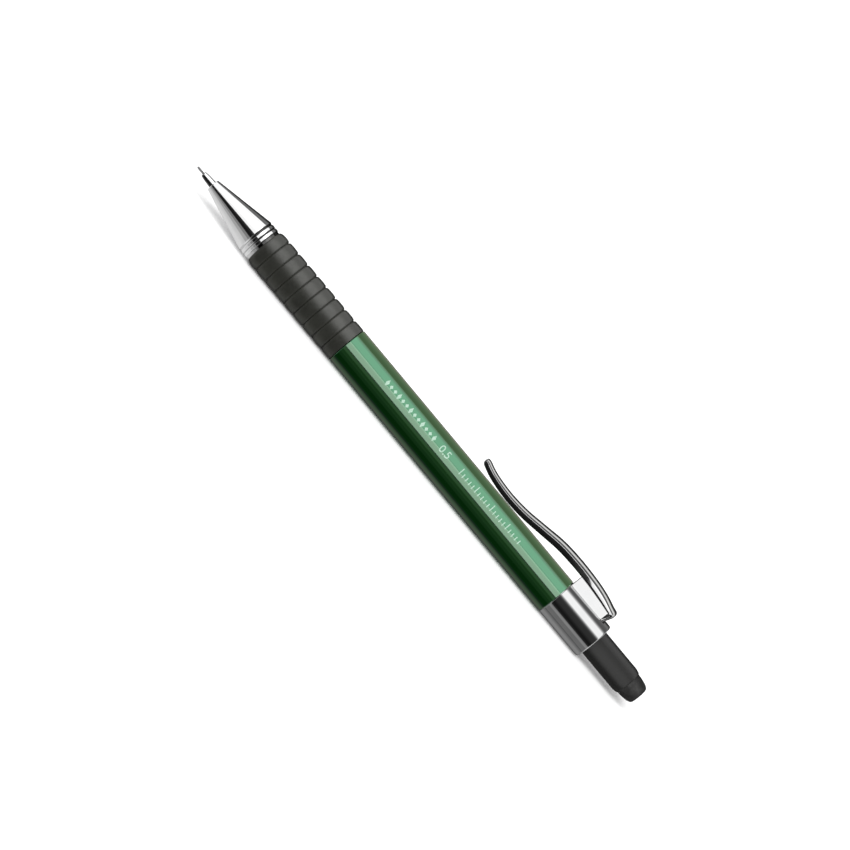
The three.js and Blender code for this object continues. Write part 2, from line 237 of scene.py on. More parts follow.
def boolean(target, tool, operation):
    """Joins or cuts target with tool, which is then removed."""
    modifier = target.modifiers.new("cut", "BOOLEAN")
    modifier.object = tool
    modifier.operation = operation
    modifier.solver = "EXACT"
    depsgraph = bpy.context.evaluated_depsgraph_get()
    result = bpy.data.meshes.new_from_object(target.evaluated_get(depsgraph))
    target.modifiers.clear()
    target.data = result
    bpy.data.objects.remove(tool)
    result.shade_smooth()
    result.set_sharp_from_angle(angle=math.radians(SHARP))
    return target


def block(name, low, high):
    """A box between two corners, each given as station, y and z."""
    stations, across, up = zip(low, high)
    corners = [place(s, y, z) for s in stations for y in across for z in up]
    faces = [(0, 1, 3, 2), (4, 6, 7, 5), (0, 4, 5, 1), (2, 3, 7, 6), (0, 2, 6, 4), (1, 5, 7, 3)]
    return make_mesh(name, corners, faces)


def turn(piece, angle):
    """Turns a piece about the pencil's axis."""
    axis = place(0, 0, 0)
    spin = Matrix.Rotation(angle, 4, "X")
    piece.data.transform(Matrix.Translation(axis) @ spin @ Matrix.Translation(-axis))
    return piece


def coil(name, wire, radius, start, end, active):
    """A compression spring between two stations, with some active turns and one closed turn at each end."""
    dead = 2 * wire * 1.04
    total = active + 2
    free = (end - start - 2 * wire - 2 * dead) / active

    def station(turns):
        if turns < 1:
            return start + wire + turns * dead
        if turns < 1 + active:
            return start + wire + dead + (turns - 1) * free
        return end - wire - (total - turns) * dead

    count = total * COIL_STEPS
    rings = [[place(station(0), *polar(radius, 0))]]
    for i in range(count + 1):
        turns = total * i / count
        angle = 2 * math.pi * turns
        ring = []
        for k in range(WIRE_SIDES):
            around = 2 * math.pi * k / WIRE_SIDES
            y, z = polar(radius + wire * math.cos(around), angle)
            ring.append(place(station(turns) + wire * math.sin(around), y, z))
        rings.append(ring)
    rings.append([place(station(total), *polar(radius, 2 * math.pi * total))])
    return ring_mesh(name, rings, 60)


def polar(radius, angle):
    """The offsets (y, z) of a point turned by a right-handed angle from the clip's side."""
    return -radius * math.sin(angle), radius * math.cos(angle)


# ---- Materials ----

class Paint:
    """A Principled material in the making. Textures read object space, which is the row frame in metres."""

    def __init__(self, name, color, roughness, metallic=0.0, **sockets):
        self.material = bpy.data.materials.new(name)
        self.material.use_nodes = True
        self.nodes = self.material.node_tree.nodes
        self.links = self.material.node_tree.links
        self.shader = self.nodes["Principled BSDF"]
        self.set("Base Color", (*color, 1))
        self.set("Roughness", roughness)
        self.set("Metallic", metallic)
        for socket, value in sockets.items():
            self.set(socket.replace("_", " "), value)
        self.where = self.nodes.new("ShaderNodeTexCoord").outputs["Object"]

    def set(self, socket, value):
        self.shader.inputs[socket].default_value = value

    def link(self, output, target):
        self.links.new(output, target)

    def math(self, operation, first, second=None):
        node = self.nodes.new("ShaderNodeMath")
        node.operation = operation
        for socket, value in zip(node.inputs, (first, second)):
            if value is None:
                continue
            if isinstance(value, (int, float)):
                socket.default_value = value
            else:
                self.link(value, socket)
        return node.outputs[0]

    def stretched(self, scale):
        """Object space scaled by a different number along each axis."""
        node = self.nodes.new("ShaderNodeMapping")
        node.inputs["Scale"].default_value = scale
        self.link(self.where, node.inputs["Vector"])
        return node.outputs[0]

    def noise(self, scale, detail=3.0, vector=None, roughness=0.5):
        node = self.nodes.new("ShaderNodeTexNoise")
        node.inputs["Scale"].default_value = scale
        node.inputs["Detail"].default_value = detail
        node.inputs["Roughness"].default_value = roughness
        self.link(vector or self.where, node.inputs["Vector"])
        return node.outputs["Fac"]

    def spread(self, value, low, high, from_low=0.3, from_high=0.7):
        """A value mapped to a range."""
        node = self.nodes.new("ShaderNodeMapRange")
        node.inputs["From Min"].default_value = from_low
        node.inputs["From Max"].default_value = from_high
        node.inputs["To Min"].default_value = low
        node.inputs["To Max"].default_value = high
        self.link(value, node.inputs["Value"])
        return node.outputs["Result"]

    def split_where(self):
        """The distance along X, across, and above the pencil's axis."""
        split = self.nodes.new("ShaderNodeSeparateXYZ")
        self.link(self.where, split.inputs[0])
        return split.outputs["X"], split.outputs["Y"], self.math("SUBTRACT", split.outputs["Z"], AXIS_Z)

    def painted_groove_shade(self, start, end, radius):
        """Where painted shade goes: over 0 only in the grooves between two stations, 1 above the axis and 0.3
        below it.
        """
        along, across, rise = self.split_where()
        squares = self.math("ADD", self.math("MULTIPLY", across, across), self.math("MULTIPLY", rise, rise))
        inside = self.spread(self.math("SQRT", squares), 1, 0, (radius - 0.05) * MM, radius * MM)
        upper = self.spread(rise, 0.3, 1, -0.4 * MM, 0.3 * MM)
        after = self.math("GREATER_THAN", along, TIP_X + start * MM)
        before = self.math("LESS_THAN", along, TIP_X + end * MM)
        between = self.math("MULTIPLY", after, before)
        return self.math("MULTIPLY", self.math("MULTIPLY", inside, upper), between)

    def around_and_along(self, turns, lengths):
        """A vector of the angle about the pencil's axis and the distance along it, each scaled."""
        along, across, rise = self.split_where()
        node = self.nodes.new("ShaderNodeCombineXYZ")
        self.link(self.math("MULTIPLY", self.math("ARCTAN2", across, rise), turns), node.inputs[0])
        self.link(self.math("MULTIPLY", along, lengths), node.inputs[1])
        return node.outputs[0]

    def bump(self, height, distance):
        """Adds a bump over any that the material already has. The distance is in metres."""
        node = self.nodes.new("ShaderNodeBump")
        node.inputs["Strength"].default_value = 1
        node.inputs["Distance"].default_value = distance
        self.link(height, node.inputs["Height"])
        before = self.shader.inputs["Normal"].links
        if before:
            self.link(before[0].from_socket, node.inputs["Normal"])
        self.link(node.outputs[0], self.shader.inputs["Normal"])

    def vary_roughness(self, value, low, high):
        self.link(self.spread(value, low, high), self.shader.inputs["Roughness"])

    def vary_color(self, value, first, second, from_low=0.3, from_high=0.7):
        node = self.nodes.new("ShaderNodeMix")
        node.data_type = "RGBA"
        node.inputs["A"].default_value = (*first, 1)
        node.inputs["B"].default_value = (*second, 1)
        self.link(self.spread(value, 0, 1, from_low, from_high), node.inputs["Factor"])
        self.link(node.outputs["Result"], self.shader.inputs["Base Color"])

    def darken(self, share, color):
        """Mixes the colour that the material already has with another one."""
        node = self.nodes.new("ShaderNodeMix")
        node.data_type = "RGBA"
        self.link(self.shader.inputs["Base Color"].links[0].from_socket, node.inputs["A"])
        node.inputs["B"].default_value = (*color, 1)
        self.link(share, node.inputs["Factor"])
        self.link(node.outputs["Result"], self.shader.inputs["Base Color"])


def green_plastic():
    """Glossy pearl green: a coloured sheen under a clear gloss, with the faintest flow marks."""
    paint = Paint("green_plastic", (0.12, 0.35, 0.2), 0.08, 1.0)
    paint.set("Coat Weight", 1.0)
    paint.set("Coat Roughness", 0.03)
    flow = paint.noise(160, 3, paint.stretched((0.12, 1, 1)))
    paint.vary_color(flow, (0.115, 0.34, 0.192), (0.128, 0.368, 0.21))
    paint.vary_roughness(paint.noise(900, 2), 0.07, 0.1)
    paint.bump(paint.noise(420, 2, paint.stretched((0.25, 1, 1))), 0.000002)
    return paint.material


def chrome():
    """Bright plate: faint polishing waves round the axis, slight smears in the gloss, and painted shade in
    the nose's grooves, heavier above the axis.
    """
    paint = Paint("chrome", (0.8, 0.805, 0.81), 0.045, 1.0)
    paint.vary_roughness(paint.noise(700, 4), 0.03, 0.07)
    paint.vary_color(paint.noise(380, 3), (0.78, 0.785, 0.79), (0.83, 0.83, 0.83))
    # Painted shade: the grooves between the nose's rings are mixed towards near-black, most strongly on their
    # upper side.
    grooves = paint.painted_groove_shade(CONE_END + 0.05, GRIP_START + 0.05, NOSE_RING - 0.01)
    paint.darken(grooves, (0.09, 0.09, 0.088))
    paint.bump(paint.noise(500, 2, paint.stretched((1, 0.35, 0.35))), 0.000002)
    return paint.material


def grip_rubber():
    """Dark warm-grey rubber: a fine moulded grain, a dusty bloom and a soft sheen."""
    paint = Paint("grip_rubber", (0.025, 0.026, 0.021), 0.38)
    paint.vary_color(paint.noise(300, 4), (0.021, 0.0218, 0.0165), (0.03, 0.0312, 0.024))
    paint.vary_roughness(paint.noise(1100, 3), 0.33, 0.43)
    paint.bump(paint.noise(9000, 3), 0.00001)
    paint.bump(paint.noise(500, 2), 0.00001)
    return paint.material


def black_plastic():
    """Black moulded plastic with fine drawn lines along the tube."""
    paint = Paint("black_plastic", (0.012, 0.012, 0.011), 0.42)
    paint.set("Specular IOR Level", 0.35)
    lines = paint.noise(1, 2, paint.around_and_along(26, 30))
    paint.vary_roughness(lines, 0.36, 0.5)
    paint.vary_color(lines, (0.0035, 0.0035, 0.0031), (0.014, 0.014, 0.0128))
    paint.bump(lines, 0.00001)
    return paint.material


def eraser_rubber():
    """Matt dark eraser with a chalky grain, lighter where it has rubbed."""
    paint = Paint("eraser_rubber", (0.016, 0.016, 0.015), 0.55)
    paint.set("Specular IOR Level", 0.25)
    paint.vary_color(paint.noise(650, 5, roughness=0.65), (0.005, 0.005, 0.0047), (0.026, 0.026, 0.0247))
    paint.vary_roughness(paint.noise(1500, 3), 0.5, 0.75)
    paint.bump(paint.noise(3800, 5, roughness=0.7), 0.00003)
    paint.bump(paint.noise(900, 2), 0.00005)
    return paint.material


def brass():
    """Turned brass with fine tool marks round the axis and a little tarnish."""
    paint = Paint("brass", (0.68, 0.48, 0.2), 0.25, 1.0)
    paint.vary_color(paint.noise(600, 4), (0.6, 0.41, 0.16), (0.74, 0.54, 0.25))
    paint.vary_roughness(paint.noise(1200, 2), 0.18, 0.32)
    paint.bump(paint.noise(9000, 2, paint.stretched((1, 0.02, 0.02))), 0.000004)
    return paint.material


def spring_steel():
    """Drawn wire, bright with darker drawing marks."""
    paint = Paint("spring_steel", (0.5, 0.51, 0.53), 0.24, 1.0)
    paint.vary_color(paint.noise(2500, 3), (0.42, 0.43, 0.45), (0.58, 0.59, 0.61))
    paint.vary_roughness(paint.noise(3500, 2), 0.18, 0.34)
    paint.bump(paint.noise(6000, 2), 0.000003)
    return paint.material


def clear_plastic():
    """Milky translucent tube with fine extrusion lines."""
    paint = Paint("clear_plastic", (0.72, 0.74, 0.71), 0.28)
    paint.set("Transmission Weight", 0.35)
    paint.vary_color(paint.noise(300, 3, paint.stretched((0.1, 1, 1))), (0.68, 0.7, 0.67), (0.78, 0.8, 0.77))
    paint.vary_roughness(paint.noise(900, 2), 0.22, 0.34)
    paint.bump(paint.noise(4000, 2, paint.stretched((0.02, 1, 1))), 0.000004)
    return paint.material


def white_plastic():
    """Plain moulded white plastic with a fine satin texture."""
    paint = Paint("white_plastic", (0.78, 0.77, 0.73), 0.42)
    paint.vary_color(paint.noise(400, 3), (0.74, 0.73, 0.69), (0.81, 0.8, 0.76))
    paint.vary_roughness(paint.noise(1400, 2), 0.36, 0.5)
    paint.bump(paint.noise(5000, 2), 0.000005)
    return paint.material


def brake_rubber():
    """Soft black rubber."""
    paint = Paint("brake_rubber", (0.03, 0.03, 0.03), 0.65)
    paint.vary_color(paint.noise(1200, 3), (0.022, 0.022, 0.022), (0.045, 0.045, 0.045))
    paint.bump(paint.noise(9000, 3), 0.000008)
    return paint.material


def graphite():
    """Polished dark lead with faint lengthwise streaks."""
    paint = Paint("lead", (0.3, 0.3, 0.305), 0.38, 0.35)
    drawn = paint.noise(2500, 3, paint.stretched((0.08, 1, 1)))
    paint.vary_color(drawn, (0.25, 0.25, 0.255), (0.36, 0.36, 0.365))
    paint.vary_roughness(paint.noise(6000, 2), 0.3, 0.48)
    paint.bump(paint.noise(9000, 2), 0.000004)
    return paint.material


def print_ink():
    """Pale green stamped print, a little uneven."""
    paint = Paint("print_ink", (0.6, 0.88, 0.7), 0.35)
    paint.vary_color(paint.noise(5000, 3), (0.5, 0.8, 0.6), (0.68, 0.92, 0.77), 0.35, 0.6)
    paint.vary_roughness(paint.noise(4000, 2), 0.3, 0.45)
    return paint.material


MATERIALS = {
    "green_plastic": green_plastic(),
    "chrome": chrome(),
    "grip_rubber": grip_rubber(),
    "black_plastic": black_plastic(),
    "eraser_rubber": eraser_rubber(),
    "brass": brass(),
    "spring_steel": spring_steel(),
    "clear_plastic": clear_plastic(),
    "white_plastic": white_plastic(),
    "brake_rubber": brake_rubber(),
    "lead": graphite(),
}
BODY_OF = {node: body for body, nodes in frame["record"]["behaviour"]["bodies"].items() for node in nodes}
SLOT_OF = {part["node"]: part["material_slot"] for part in frame["record"]["subparts"]}


def finish_piece(piece, node):
    """Gives a piece the material, body and place of the CAD node that it stands for."""
    piece.data.materials.clear()
    piece.data.materials.append(MATERIALS[SLOT_OF[node]])
    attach(piece, BODY_OF[node])
    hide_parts(node)
    return piece


# ---- The point ----

def nose_cone():
    rear = GRIP_START + 0.01
    profile = [
        (NOSE_TIP, 1), (NOSE_TIP, 1.44, 0.14), (CONE_END, 4.35, 0.05),
        (19.2, NOSE_GROOVE, 0.05), (19.32, NOSE_GROOVE, 0.05), (19.55, NOSE_RING, 0.08),
        (20.15, NOSE_RING, 0.08), (20.34, NOSE_GROOVE, 0.03), (20.53, NOSE_RING, 0.08),
        (21.13, NOSE_RING, 0.08), (21.32, NOSE_GROOVE, 0.05), (rear, NOSE_GROOVE), (rear, 3.3),
        (16.6, 3.3), (15.8, 2.2), (11.2, 2.2), (11.2, 1.6), (7.9, 1.6), (7.6, 1),
    ]
    finish_piece(turned("nose_cone_body", profile, sides=SIDES, sharp=40), "nose_cone")


def tip_sleeve():
    profile = [
        (1.92, 0.3), (1.92, 0.56, 0.1), (2.2, 0.66, 0.1), (3.1, 0.78, 0.2), (4.5, 0.86, 0.2), (4.9, 0.9, 0.1),
        (10.8, 0.9, 0.08), (10.8, 0.3),
    ]
    finish_piece(turned("tip_sleeve_tube", profile), "tip_sleeve")


def lead():
    rear = LEAD_LENGTH - 2
    profile = [(0, 0), (0, 0.13, 0.05), (0.16, LEAD_RADIUS, 0.06), (rear, LEAD_RADIUS, 0.03), (rear, 0)]
    finish_piece(turned("lead_rod", profile, sides=32), "lead")


def slider():
    profile = [
        (8.8, 0.96), (8.8, 1.3, 0.08), (9, 1.45, 0.08), (11.3, 1.45), (11.3, 2.05, 0.08), (12.2, 2.05, 0.08),
        (12.2, 1.5), (13.5, 1.5, 0.06), (13.5, 1.2), (11.5, 1.2), (11.5, 0.36), (10.9, 0.36), (10.9, 0.96),
    ]
    finish_piece(turned("slider_body", profile), "slider")


def lead_brake():
    profile = [
        (11.6, 0.5, 0.05), (11.6, 1.14, 0.1), (13.4, 1.14, 0.1), (13.4, 0.5, 0.05),
        (12.8, LEAD_RADIUS + 0.02), (12.2, LEAD_RADIUS + 0.02),
    ]
    finish_piece(turned("lead_brake_grommet", profile), "lead_brake")


def springs():
    slider_start, slider_end = 12.3, CLUTCH_START - 0.1
    spring = finish_piece(coil("slider_spring_coil", 0.15, 1.8, slider_start, slider_end, 5), "slider_spring")
    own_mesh(spring)
    chuck_start, chuck_end = CLUTCH_END + 0.1, 34.1
    spring = finish_piece(coil("chuck_spring_coil", 0.2, 1.7, chuck_start, chuck_end, 5), "chuck_spring")
    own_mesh(spring)


# ---- The clutch and the leads ----

def clutch():
    sleeve = [
        (CLUTCH_START, 1.62, 0.05), (CLUTCH_START, 2.74, 0.12), (CLUTCH_END, 2.74, 0.12),
        (CLUTCH_END, 1.15, 0.05), (22.5, 1.15), (22.3, 1.92), (19.3, 1.92), (19.3, 1.62),
    ]
    finish_piece(turned("clutch_sleeve_body", sleeve), "clutch_sleeve")
    ring = [(20.15, 1.36, 0.04), (20.15, 1.82, 0.1), (22, 1.82, 0.06), (22, 1.36, 0.04)]
    finish_piece(turned("clutch_ring_body", ring), "clutch_ring")
    jaws = [
        (18.9, 0.3), (18.9, 0.8, 0.1), (19.3, 1.45, 0.08), (19.8, 1.5, 0.05), (20.1, 1.28), (22.2, 1.28),
        (22.6, 1), (36, 1, 0.1), (36, 0.42), (22.6, 0.42), (22, 0.3),
    ]
    chuck = turned("chuck_jaws", jaws)
    for i in range(3):
        slit = turn(block("slit", (18, -0.1, 0), (26.9, 0.1, 2)), i * 2 * math.pi / 3)
        boolean(chuck, slit, "DIFFERENCE")
    finish_piece(chuck, "chuck")
    shoulder = RESERVOIR_START - 0.1
    connector = [
        (34.2, 1.06), (34.2, 2.2, 0.15), (shoulder, 2.2, 0.06), (shoulder, PLUG_RADIUS),
        (40.5, PLUG_RADIUS, 0.06), (40.5, 1.7), (37.5, 0.4), (36.1, 0.4), (36.1, 1.06),
    ]
    finish_piece(turned("chuck_connector_body", connector), "chuck_connector")


def reservoir_and_leads():
    tube = [
        (RESERVOIR_START, RESERVOIR_BORE), (RESERVOIR_START, RESERVOIR_RADIUS, 0.06),
        (RESERVOIR_END, RESERVOIR_RADIUS, 0.06), (RESERVOIR_END, RESERVOIR_BORE),
    ]
    finish_piece(turned("lead_reservoir_tube", tube), "lead_reservoir")
    start, end = 41, 41 + LEAD_LENGTH
    rod = [(start, 0), (start, LEAD_RADIUS, 0.03), (end, LEAD_RADIUS, 0.03), (end, 0)]
    from_axis = (RESERVOIR_BORE - LEAD_RADIUS - 0.06) * MM
    for i in range(3):
        angle = math.pi + (i - 1) * math.pi / 5
        spare = turned(f"spare_lead_{i + 1}_rod", rod, sides=24)
        away = Vector((0, math.sin(angle), math.cos(angle))) * from_axis
        spare.data.transform(Matrix.Translation(away))
        finish_piece(spare, f"spare_lead_{i + 1}")


# ---- The outer body ----

def grip_radius(station):
    """A rounded shoulder at the front, then rings that swell gently between narrow grooves."""
    shoulder_end, edge = GRIP_START + GRIP_SHOULDER, 4.15
    if station < shoulder_end:
        reach = (shoulder_end - station) / GRIP_SHOULDER
        base = edge + (BODY_RADIUS - edge) * math.sqrt(max(1 - reach ** 2, 0))
    else:
        base = BODY_RADIUS
    nearest = min(max(round((station - GROOVE_FIRST) / GROOVE_PITCH), 0), GROOVES - 1)
    offset = station - (GROOVE_FIRST + nearest * GROOVE_PITCH)
    groove = 0.29 * math.exp(-(abs(offset) / 0.19) ** 1.5)
    lip = 0.06 * math.exp(-(offset / 0.75) ** 2)
    return base - groove - lip


def grip_sleeve():
    bore = 3.62
    beside_groove = (0.05, 0.1, 0.17, 0.26, 0.38, 0.55, 0.8, 1.1)
    shoulder = [GRIP_START + GRIP_SHOULDER * (1 - math.cos(math.pi / 2 * k / 12)) for k in range(12)]
    stations = [s for s in shoulder if s < GROOVE_FIRST - 1.15]
    for i in range(GROOVES):
        centre = GROOVE_FIRST + i * GROOVE_PITCH
        stations += [centre - offset for offset in beside_groove]
        stations += [centre + offset for offset in beside_groove]
        stations += [centre, centre + GROOVE_PITCH / 2]
    stations += [GRIP_END - 0.7, GRIP_END - 0.3, GRIP_END - 0.1]
    outline = [(station, grip_radius(station)) for station in sorted(stations)]
    outline += [(GRIP_END, BODY_RADIUS - 0.15), (GRIP_END, bore), (GRIP_START, bore), (GRIP_START, 4.0)]
    angles = [2 * math.pi * i / SIDES for i in range(SIDES)]
    rings = []
    for station, radius in outline:
        lobe = body_lobe(radius)
        rings.append([place(station, *section_point(radius, angle, lobe)) for angle in angles])
    finish_piece(ring_mesh("grip_sleeve_rubber", rings, 50), "grip_sleeve")


def barrel():
    rear = COLLAR_START - 0.1
    profile = [
        (17, 2.8), (17, 3.1, 0.1), (17.3, 3.2, 0.1), (21.15, 3.2), (21.15, 3.56, 0.1), (BARREL_START, 3.56),
        (BARREL_START, 4.58, 0.05), (BARREL_START + 0.1, BODY_RADIUS, 0.1), (rear - 0.04, BODY_RADIUS, 0.05),
        (rear, 4.64), (rear, 4.12), (111.2, 4.12), (111.2, 3.75), (52, 3.75), (50.5, 2.8),
        (27.6, 2.8), (27.6, 2.25), (CLUTCH_END + 0.1, 2.25), (CLUTCH_END + 0.1, 2.8),
    ]
    finish_piece(turned("barrel_body", profile, body_lobe, SIDES), "barrel")


def add_outline(work, outline):
    """Adds a flat face to the print, in millimetres along and across it."""
    work.faces.new([work.verts.new((along, across, 0)) for along, across in outline])


def barrel_print():
    """A row of lozenges, the lead size and a millimetre scale, stamped on the barrel's flat."""
    work = bmesh.new()
    for i in range(13):
        middle, tall = 60.6 + i * 1.26, 0.85 if i % 3 == 0 else 0.5
        add_outline(work, [(middle - 0.42, 0), (middle, -tall), (middle + 0.42, 0), (middle, tall)])
    for i in range(20):
        left, tall = 84.6 + i, 1.7 if i % 5 == 0 else 1.0
        right, foot, top = left + 0.22, -0.85, tall - 0.85
        add_outline(work, [(left, foot), (right, foot), (right, top), (left, top)])
    curve = bpy.data.curves.new("lead_size", "FONT")
    curve.body = "0.5"
    curve.size = 2.5
    curve.resolution_u = 6
    text = bpy.data.objects.new("lead_size", curve)
    bpy.context.scene.collection.objects.link(text)
    letters = text.to_mesh()
    letters.transform(Matrix.Translation((77.9, -0.88, 0)))
    work.from_mesh(letters)
    bpy.data.objects.remove(text)
    bmesh.ops.triangulate(work, faces=work.faces)
    for _ in range(3):
        long_edges = [edge for edge in work.edges if edge.calc_length() > 0.3]
        bmesh.ops.subdivide_edges(work, edges=long_edges, cuts=1)
        bmesh.ops.triangulate(work, faces=work.faces)
    bmesh.ops.recalc_face_normals(work, faces=work.faces)
    flat_radius = BODY_RADIUS + 8 * LOBE
    for vertex in work.verts:
        angle = PRINT_ANGLE + vertex.co.y / flat_radius
        y, z = section_point(BODY_RADIUS + PRINT_LIFT, angle, LOBE)
        vertex.co = place(vertex.co.x, y, z)
    bmesh.ops.solidify(work, geom=work.faces[:], thickness=PRINT_THICKNESS * MM)
    mesh = bpy.data.meshes.new("barrel_print")
    bmesh.ops.recalc_face_normals(work, faces=work.faces)
    work.to_mesh(mesh)
    work.free()
    piece = bpy.data.objects.new("barrel_print", mesh)
    bpy.context.scene.collection.objects.link(piece)
    mesh.materials.append(print_ink())
    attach(piece, "body")


# ---- The collar and clip ----

# The middle of the strip, as (station, height), then the fold and the tab as pairs of outer and inner points.
CLIP_POINTS = [
    (86.3, 7.53), (90, 6.6), (95, 6.2), (100, 6.48), (105, 7.33), (110, 8.19), (115, 8.47), (120, 8.34),
    (124, 7.98), (127.2, 7.45),
]
CLIP_FOLD = [
    ((127.9, 8.0), (127.45, 6.86)), ((128.3, 7.92), (127.62, 6.84)), ((128.55, 7.76), (127.72, 6.82)),
    ((128.7, 7.5), (127.78, 6.8)), ((128.74, 7.15), (127.8, 6.75)), ((128.72, 6.6), (127.78, 6.5)),
    ((128.45, 5.7), (127.6, 5.8)), ((128.15, 4.8), (127.3, 4.8)),
]


def clip_half_width(station):
    """Widest over the collar, narrower towards the free end, and rounded there."""
    share = (min(station, 118) - 86) / 32
    from_end = limited((station - 85.9) / 0.9)
    return (1.5 + share * 0.75) * math.sqrt(0.02 + 0.98 * (1 - (1 - from_end) ** 2))


def clip_thickness(station):
    """Thin at the free end, thicker where the strip rises, and thin again at the fold."""
    return 1.4 + 0.45 * min((station - 86) / 24, 1) - 0.5 * limited((station - 121) / 6) ** 2


def clip_section(half_width, thickness, lean):
    """Half of the clip's section, from the middle of its top to the middle of its underside, as (across, up).
    The top is crowned, the shoulder round, and the side leans out by an angle down to a round corner."""
    brow, shoulder, corner = math.radians(62), 0.14 * thickness, 0.45 * math.sin(lean) * thickness
    crown_radius = half_width / math.cos(brow)
    turned_down = crown_radius * (1 - math.sin(brow)) + shoulder * (math.sin(brow) - math.sin(lean))
    side = max(thickness - turned_down - corner * (1 + math.sin(lean)), 0.05)
    here = Vector((0, thickness / 2))
    points = [here]
    upward = math.pi / 2
    arcs = ((crown_radius, upward, brow), (shoulder, brow, lean), (corner, lean, -upward))
    for radius, first, last in arcs:
        for k in range(6):
            angle, after = (first + (last - first) * t / 6 for t in (k, k + 1))
            step = Vector((math.cos(after) - math.cos(angle), math.sin(after) - math.sin(angle)))
            here = here + radius * step
            points.append(here)
        if last == lean:
            here = here + Vector((side * math.tan(lean), -side))
            points.append(here)
    top = points[0].y
    wider = half_width / max(point.x for point in points)
    deeper = thickness / (top - points[-1].y)
    half = [(point.x * wider, thickness / 2 - (top - point.y) * deeper) for point in points]
    return [*half, (0, -thickness / 2)]


def clip_ring(outer, inner, half_width, lean):
    """A ring of the clip between an outer and an inner point of its outline."""
    middle, up = (outer + inner) / 2, (outer - inner).normalized()
    half = clip_section(half_width, (outer - inner).length, lean)
    loop = [*half, *[(-across, high) for across, high in reversed(half[1:-1])]]
    return [place(middle.x + up.x * high, across, middle.y + up.y * high) for across, high in loop]


def clip():
    line = smooth_line([Vector(point) for point in CLIP_POINTS], 7)
    rings = []
    for i, middle in enumerate(line):
        ahead, behind = line[min(i + 1, len(line) - 1)], line[max(i - 1, 0)]
        tangent = (ahead - behind).normalized()
        from_end = limited((middle.x - 86.2) / 0.9)
        thickness = clip_thickness(middle.x) * (0.45 + 0.55 * math.sqrt(1 - (1 - from_end) ** 2))
        half = Vector((-tangent.y, tangent.x)) * thickness / 2
        over_collar = limited((middle.x - 112) / 10)
        lean = math.radians(9 + 24 * over_collar * over_collar * (3 - 2 * over_collar))
        rings.append(clip_ring(middle + half, middle - half, clip_half_width(middle.x), lean))
    for outer, inner in CLIP_FOLD:
        rings.append(clip_ring(Vector(outer), Vector(inner), clip_half_width(127), math.radians(12)))
    first, last = [sum(ring, Vector()) / len(ring) for ring in (rings[0], rings[-1])]
    strip = finish_piece(ring_mesh("clip_strip", [[first], *rings, [last]], 45), "clip")
    strip.visible_glossy = False


def clip_underside(station):
    """The height of the clip's underside."""
    line = smooth_line([Vector(point) for point in CLIP_POINTS], 12)
    nearest = min(line, key=lambda point: abs(point.x - station))
    return nearest.y - clip_thickness(station) / 2


def collar_lug():
    """The lug that carries the clip: a wedge that flares down into the collar."""
    front, foot = COLLAR_START + 0.2, 4.15
    columns, rows = 24, 24
    rings = []
    for i in range(columns + 1):
        station = front + (LUG_END - front) * i / columns
        inset = 0.12 if i in (0, columns) else 0
        top = clip_underside(station) - 0.1 - inset
        side = []
        for j in range(rows + 1):
            t = j / rows
            side.append((0.8 + 0.45 * (1 - t) + 0.2 * (1 - t) ** 8 - inset, foot + (top - foot) * t))
        loop = [*side, *[(-across, up) for across, up in reversed(side)]]
        rings.append([place(station, across, up) for across, up in loop])
    first, last = [sum(ring, Vector()) / len(ring) for ring in (rings[0], rings[-1])]
    return ring_mesh("rear_collar_lug", [[first], *rings, [last]])


def rear_collar():
    bore, guide = 3.72, TUBE_RADIUS + 0.1
    profile = [
        (111.5, bore), (111.5, 3.9, 0.08), (111.7, 4.06, 0.08), (COLLAR_START, 4.06),
        (COLLAR_START, 4.58, 0.04), (COLLAR_START + 0.1, COLLAR_RADIUS, 0.08),
        (COLLAR_END - 0.1, COLLAR_RADIUS, 0.4), (COLLAR_END - 0.1, 3.86, 0.08),
        (COLLAR_END, 3.76, 0.05), (COLLAR_END, 3.48, 0.08),
        (129.3, guide), (129.3, bore),
    ]
    collar = turned("rear_collar_body", profile, collar_lobe, SIDES)
    boolean(collar, block("slot", (LUG_END, -2.5, 4.5), (LUG_END + 1.15, 2.5, 6)), "DIFFERENCE")
    finish_piece(collar, "rear_collar")
    finish_piece(collar_lug(), "rear_collar")
    bush = [(112, guide), (112, bore - 0.06, 0.06), (129.2, bore - 0.06, 0.06), (129.2, guide)]
    finish_piece(turned("collar_bush_tube", bush), "collar_bush")


# ---- The twist eraser ----

def eraser_base():
    flange, bore = RESERVOIR_END + 0.1, 1.2
    profile = [
        (PLUG_START, 0), (PLUG_START, PLUG_RADIUS, 0.12), (flange, PLUG_RADIUS), (flange, 2.8, 0.08),
        (PLUG_END, 2.8, 0.08), (PLUG_END, bore), (PLUG_FLOOR, bore), (PLUG_FLOOR, 0),
    ]
    base = turned("eraser_base_plug", profile)
    start, end = PLUG_FLOOR + 0.65, PLUG_END + 0.4
    radius, wide = 1.15, 0.58
    count = 140
    rings = []
    for i in range(count + 1):
        station = start + (end - start) * i / count
        angle = 2 * math.pi * (station - PLUG_FLOOR) / TWIST_PITCH
        ring = []
        for k in range(16):
            around = 2 * math.pi * k / 16
            y, z = polar(radius + wide * math.cos(around), angle)
            ring.append(place(station + wide * math.sin(around), y, z))
        rings.append(ring)
    ends = [[sum(ring, Vector()) / len(ring)] for ring in (rings[0], rings[-1])]
    groove = ring_mesh("groove", [ends[0], *rings, ends[1]])
    boolean(base, groove, "DIFFERENCE")
    finish_piece(base, "eraser_base")


